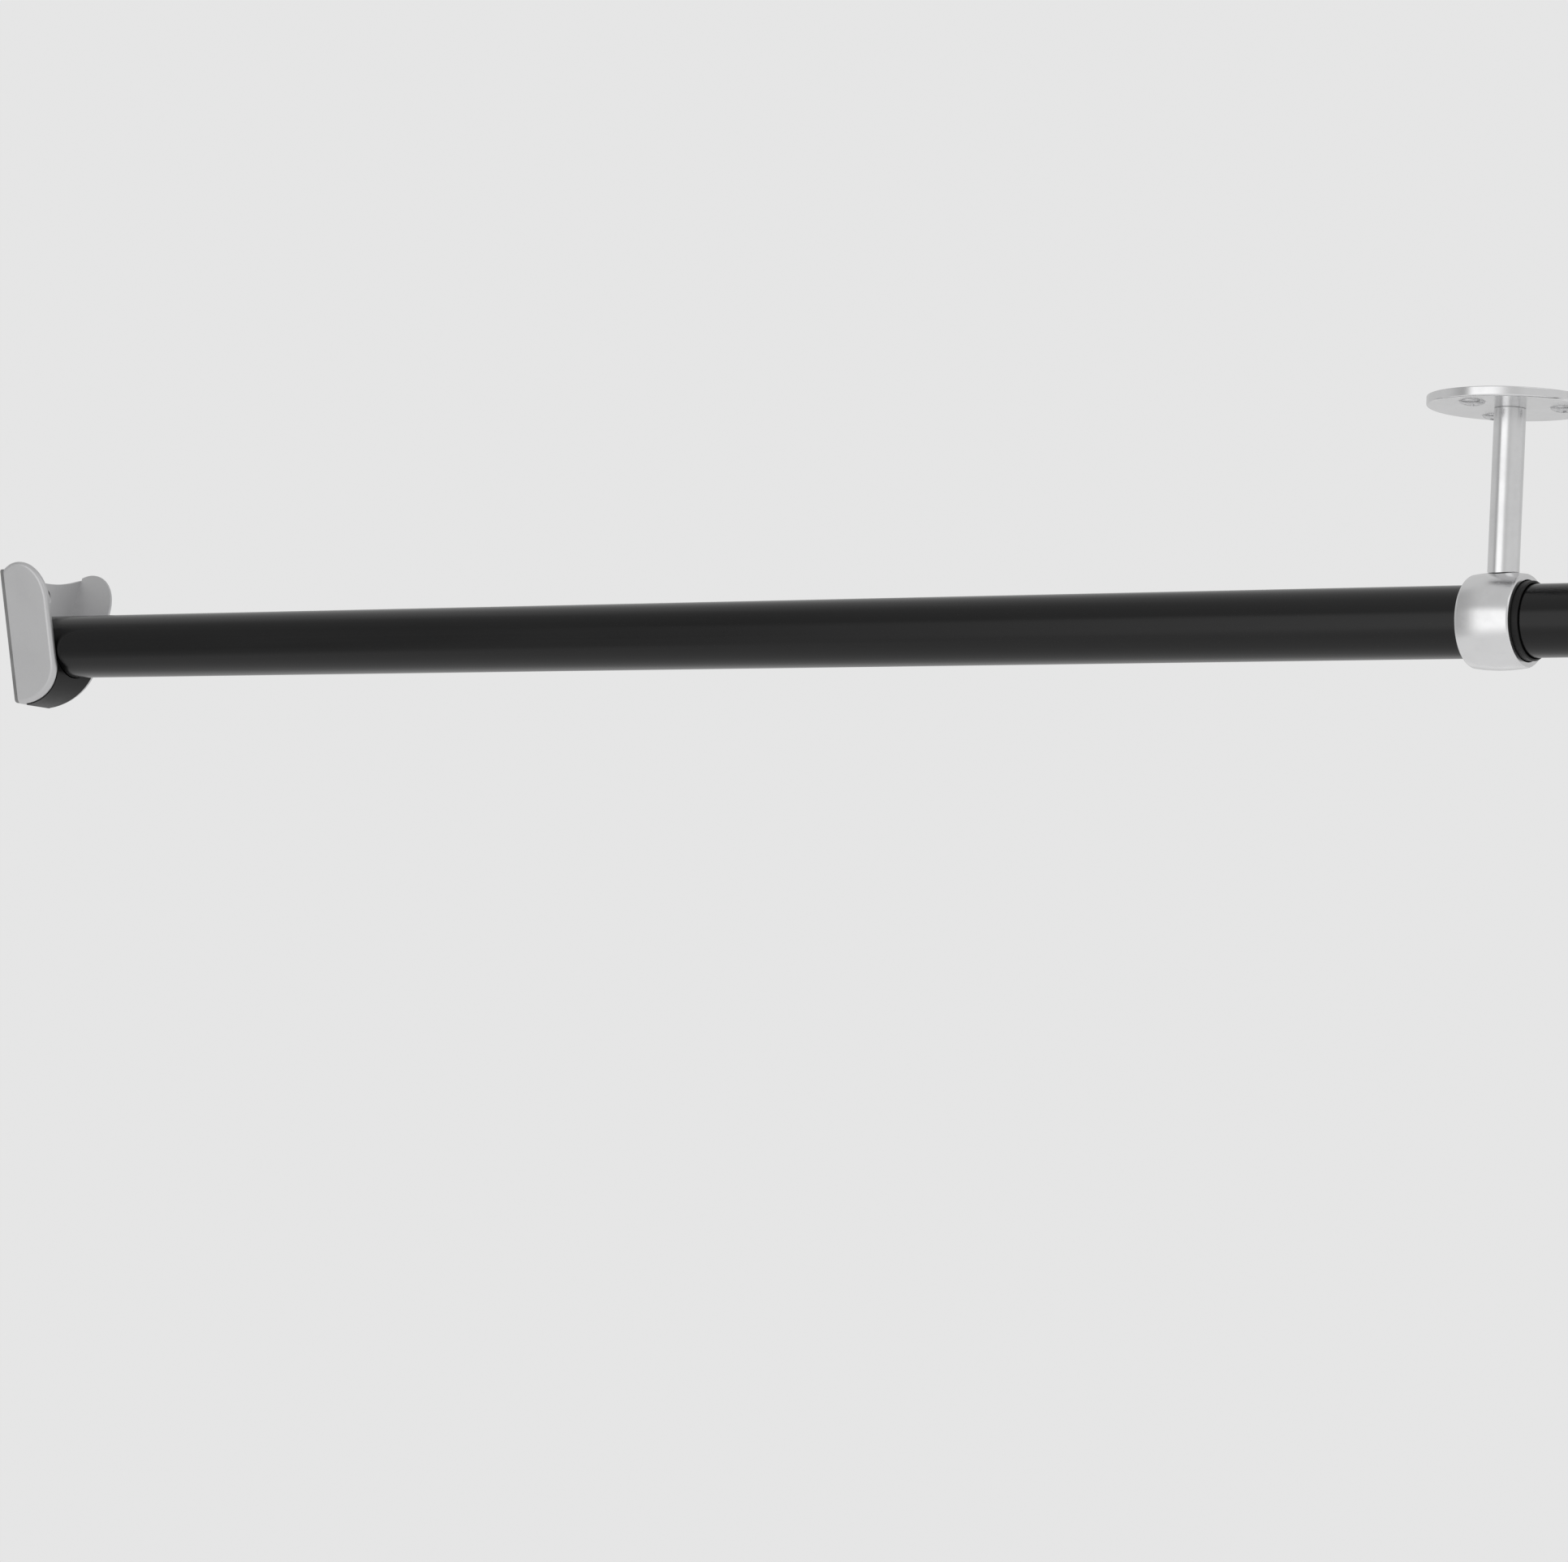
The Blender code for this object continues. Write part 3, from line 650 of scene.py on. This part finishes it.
# --- wall sockets -----------------------------------------------------------------------------------------
def dome_outline():
    """The cheeks' domed top, from the point over the wall plate's face to the free edge."""
    width = SOCKET_DEPTH - SOCKET_DOME_X
    base = SOCKET_TOP - SOCKET_DOME_H
    start = math.acos((BASE_T + GAP - SOCKET_DOME_X) / width)
    turns = [start * (1 - i / DOME_STEPS) for i in range(DOME_STEPS + 1)]
    return [(SOCKET_DOME_X + width * math.cos(a), base + SOCKET_DOME_H * math.sin(a)) for a in turns]


def toe_outline(grow=0.0):
    """The rounded lower corner, from the free edge to the lowest point."""
    width, height = SOCKET_DEPTH - SOCKET_TOE_X + grow, SOCKET_TOE_H + grow
    centre_z = SOCKET_BOTTOM + SOCKET_TOE_H
    return [(SOCKET_TOE_X + width * math.cos(a), centre_z + height * math.sin(a))
            for a in angles(-90, TOE_STEPS)]


def between_cheeks(half_width):
    """Places outline points (x, z) on both sides of a wedge that widens towards the top."""
    return (lambda x, z: (x, -half_width - FLARE * z, z)), (lambda x, z: (x, half_width + FLARE * z, z))


def web_top_cutter(lowering=0.0):
    """A wide cylinder along X that hollows the top edge of the back wall."""
    centre = (WEB_FACE + GAP, 0, WEB_TOP + WEB_TOP_CURVE_R - lowering)
    return moved(cylinder(WEB_TOP_CURVE_R, -THROUGH, 0, "X", WEB_TOP_STEPS), Matrix.Translation(centre))


def shell_mesh():
    """Two flared cheeks joined by a back wall, open at the top, front and bottom."""
    back = BASE_T + GAP
    toe = [(x, z) for x, z in toe_outline() if x > back]
    bm = slab(dome_outline() + toe + [(back, SOCKET_BOTTOM)], *between_cheeks(CHEEK_OUTER))
    in_front = [e for e in bm.edges if max(v.co.x for v in e.verts) > back + ON_PLANE]
    rims = [e for e in in_front if len({v.co.y > 0 for v in e.verts}) == 1]
    bmesh.ops.bevel(bm, geom=rims, offset=SHELL_RIM, segments=7, profile=0.5, affect="EDGES",
                    clamp_overlap=True)
    body = finish_mesh(bm, "shell")
    cavity = [(WEB_FACE, PAST_BOTTOM), (WEB_FACE, PAST_TOP), (PAST_X, PAST_TOP), (PAST_X, PAST_BOTTOM)]
    cutters = [finish_mesh(slab(cavity, *between_cheeks(CHEEK_INNER)), "cavity"), web_top_cutter()]
    for z in SOCKET_SCREW_Z:
        place = Matrix.Translation((WEB_FACE, 0, z)) @ Z_TO_MINUS_X
        cutters.append(moved(screw_hole(WALL_SCREW, THROUGH), place))
    return carve(body, cutters)


def saddle_mesh():
    """Fills the space between the cheeks under the rod, with a round seat for it."""
    back = WEB_FACE + GAP
    front = SADDLE_HI.x
    toe = [(min(x, front), z) for x, z in toe_outline(SADDLE_PROUD) if x > back]
    outline = [(back, SADDLE_TOP), (front, SADDLE_TOP), *toe, (back, SADDLE_LO.z)]
    body = finish_mesh(slab(outline, *between_cheeks(CHEEK_INNER - GAP * SLANT)), "saddle")
    return carve(body, [cylinder(SEAT_R, 0, PAST_X, "X", FINE)])


def base_mesh():
    """The plate on the wall, a little narrower than the socket's back at each height."""
    edge = CHEEK_OUTER - BASE_INSET
    top, bottom = BASE_HI.z, BASE_LO.z
    outline = [(-edge - FLARE * bottom, bottom), (-edge - FLARE * top, top),
               (edge + FLARE * top, top), (edge + FLARE * bottom, bottom)]
    bm = slab(outline, lambda y, z: (0, y, z), lambda y, z: (BASE_T, y, z))
    corners = [e for e in bm.edges if abs(e.verts[0].co.x - e.verts[1].co.x) > BASE_T / 2]
    bmesh.ops.bevel(bm, geom=corners, offset=BASE_CORNER, segments=6, profile=0.5, affect="EDGES")
    body = finish_mesh(bm, "base")
    cutters = [web_top_cutter(BASE_INSET)]
    for z in SOCKET_SCREW_Z:
        hole = shank_hole(WALL_SCREW, -CUT_PAST, BASE_T + CUT_PAST, "X")
        cutters.append(moved(hole, Matrix.Translation((0, 0, z))))
    return carve(body, cutters)


def build_sockets(nickel, steel, plastic, grey_and_painted_shade):
    shell, saddle, base = shell_mesh(), saddle_mesh(), base_mesh()
    lo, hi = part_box("left_upper_screw")
    screw = screw_mesh("wall_screw", WALL_SCREW, hi.x - lo.x)
    for side, matrix in SIDES:
        piece(f"{side}_socket_shell", shell, nickel, matrix, FINE_EDGE)
        # The saddle's black is partly painted shade: a moulded insert whose black also stands in for the
        # shade and the rod's dark reflection under the rod.
        piece(f"{side}_rod_saddle", saddle, plastic, matrix, MOULDED_EDGE)
        # The base plate's grey is partly painted shade: a grey plate, darker than the cheeks, standing in
        # for the contact shadow along the wall.
        piece(f"{side}_base_plate", base, grey_and_painted_shade, matrix, MOULDED_EDGE)
        for level, z in zip(("upper", "lower"), SOCKET_SCREW_Z):
            own_turn = Matrix.Rotation(0.4 + z * 20, 4, "Z")
            place = matrix @ Matrix.Translation((hi.x, 0, z)) @ Z_TO_MINUS_X @ own_turn
            piece(f"{side}_{level}_screw", screw, steel, place)


# --- camera, light and floor ------------------------------------------------------------------------------
def make_camera():
    across = math.cos(CAMERA_ELEVATION)
    forward = Vector((-math.sin(CAMERA_AZIMUTH) * across, math.cos(CAMERA_AZIMUTH) * across,
                      math.sin(CAMERA_ELEVATION)))
    level = Vector((math.cos(CAMERA_AZIMUTH), math.sin(CAMERA_AZIMUTH), 0))
    upright = level.cross(forward)
    right = level * math.cos(CAMERA_ROLL) + upright * math.sin(CAMERA_ROLL)
    up = upright * math.cos(CAMERA_ROLL) - level * math.sin(CAMERA_ROLL)
    data = bpy.data.cameras.new("camera")
    data.sensor_width = CAMERA_SENSOR
    data.lens = CAMERA_LENS
    camera = add_object("camera", data)
    rotation = Matrix((right, up, -forward)).transposed().to_4x4()
    camera.matrix_world = Matrix.Translation(CAMERA_PLACE) @ rotation
    bpy.context.scene.camera = camera


def make_world():
    """A pale studio with a tall soft window on the camera's side, a dim card left of it, and some light from
    below and from the right. The camera itself sees an even backdrop, and all other rays see the studio.
    """
    world = bpy.data.worlds.new("studio")
    bpy.context.scene.world = world
    world.use_nodes = True
    n = Nodes(world.node_tree)
    coords = n.new("ShaderNodeTexCoord")
    split = n.new("ShaderNodeSeparateXYZ")
    n.link(coords.outputs["Generated"], split.inputs[0])
    x, y, z = split.outputs
    front = n.ramp(y, *FRONT_Y)
    window = n.math("MULTIPLY", n.band(x, *WINDOW_X), n.band(z, *WINDOW_Z), front)
    card = n.math("MULTIPLY", n.band(x, *CARD_X), n.ramp(z, *CARD_Z), front)
    level = n.math("ADD", n.ramp(z, *SKY_Z, SKY_LOW, SKY_HIGH), n.math("MULTIPLY", window, WINDOW_GAIN),
                   n.ramp(z, *BELOW_Z, 0.0, BELOW_GAIN), n.ramp(x, *RIGHT_X, 0.0, RIGHT_GAIN))
    level = n.math("MULTIPLY", level, n.math("SUBTRACT", 1.0, n.math("MULTIPLY", card, CARD_DIM)))
    by_camera = n.new("ShaderNodeLightPath").outputs["Is Camera Ray"]
    level = n.math("MULTIPLY", n.math("SUBTRACT", 1.0, by_camera), level)
    background = world.node_tree.nodes["Background"]
    background.inputs["Color"].default_value = (1, 1, 1, 1)
    n.link(n.math("ADD", n.math("MULTIPLY", by_camera, BACKDROP), level), background.inputs["Strength"])


def make_floor():
    """A wide pale disc far below."""
    bm = bmesh.new()
    bmesh.ops.create_circle(bm, cap_ends=True, segments=FLOOR_STEPS, radius=FLOOR_R)
    mesh = finish_mesh(bm, "floor")
    mesh.materials.append(floor_material())
    floor = add_object("floor", mesh)
    floor.location = (POST_X, 0, FLOOR_Z)


def make_light():
    data = bpy.data.lights.new("soft_key", "AREA")
    data.shape = "RECTANGLE"
    data.size, data.size_y = KEY_SIZE
    data.energy = KEY_POWER
    light = add_object("soft_key", data)
    rotation = (KEY_AIM - KEY_PLACE).to_track_quat("-Z", "Y").to_matrix().to_4x4()
    light.matrix_world = Matrix.Translation(KEY_PLACE) @ rotation


def main():
    coating = coating_material()
    chrome = chrome_material()
    nickel = nickel_material()
    steel = screw_material()
    black = plastic_material("black_moulded", 0.0035, 0.006)
    # Grey plastic for the base plates, darker than the cheeks as painted shade for the contact shadow along
    # the wall.
    grey_and_painted_shade = plastic_material("grey_moulded_and_painted_shade", 0.20, 0.235)
    build_rod(coating, black)
    build_support(chrome, steel, black)
    build_sockets(nickel, steel, black, grey_and_painted_shade)
    make_camera()
    make_world()
    make_floor()
    make_light()
    bpy.context.scene.view_settings.view_transform = "Standard"


main()
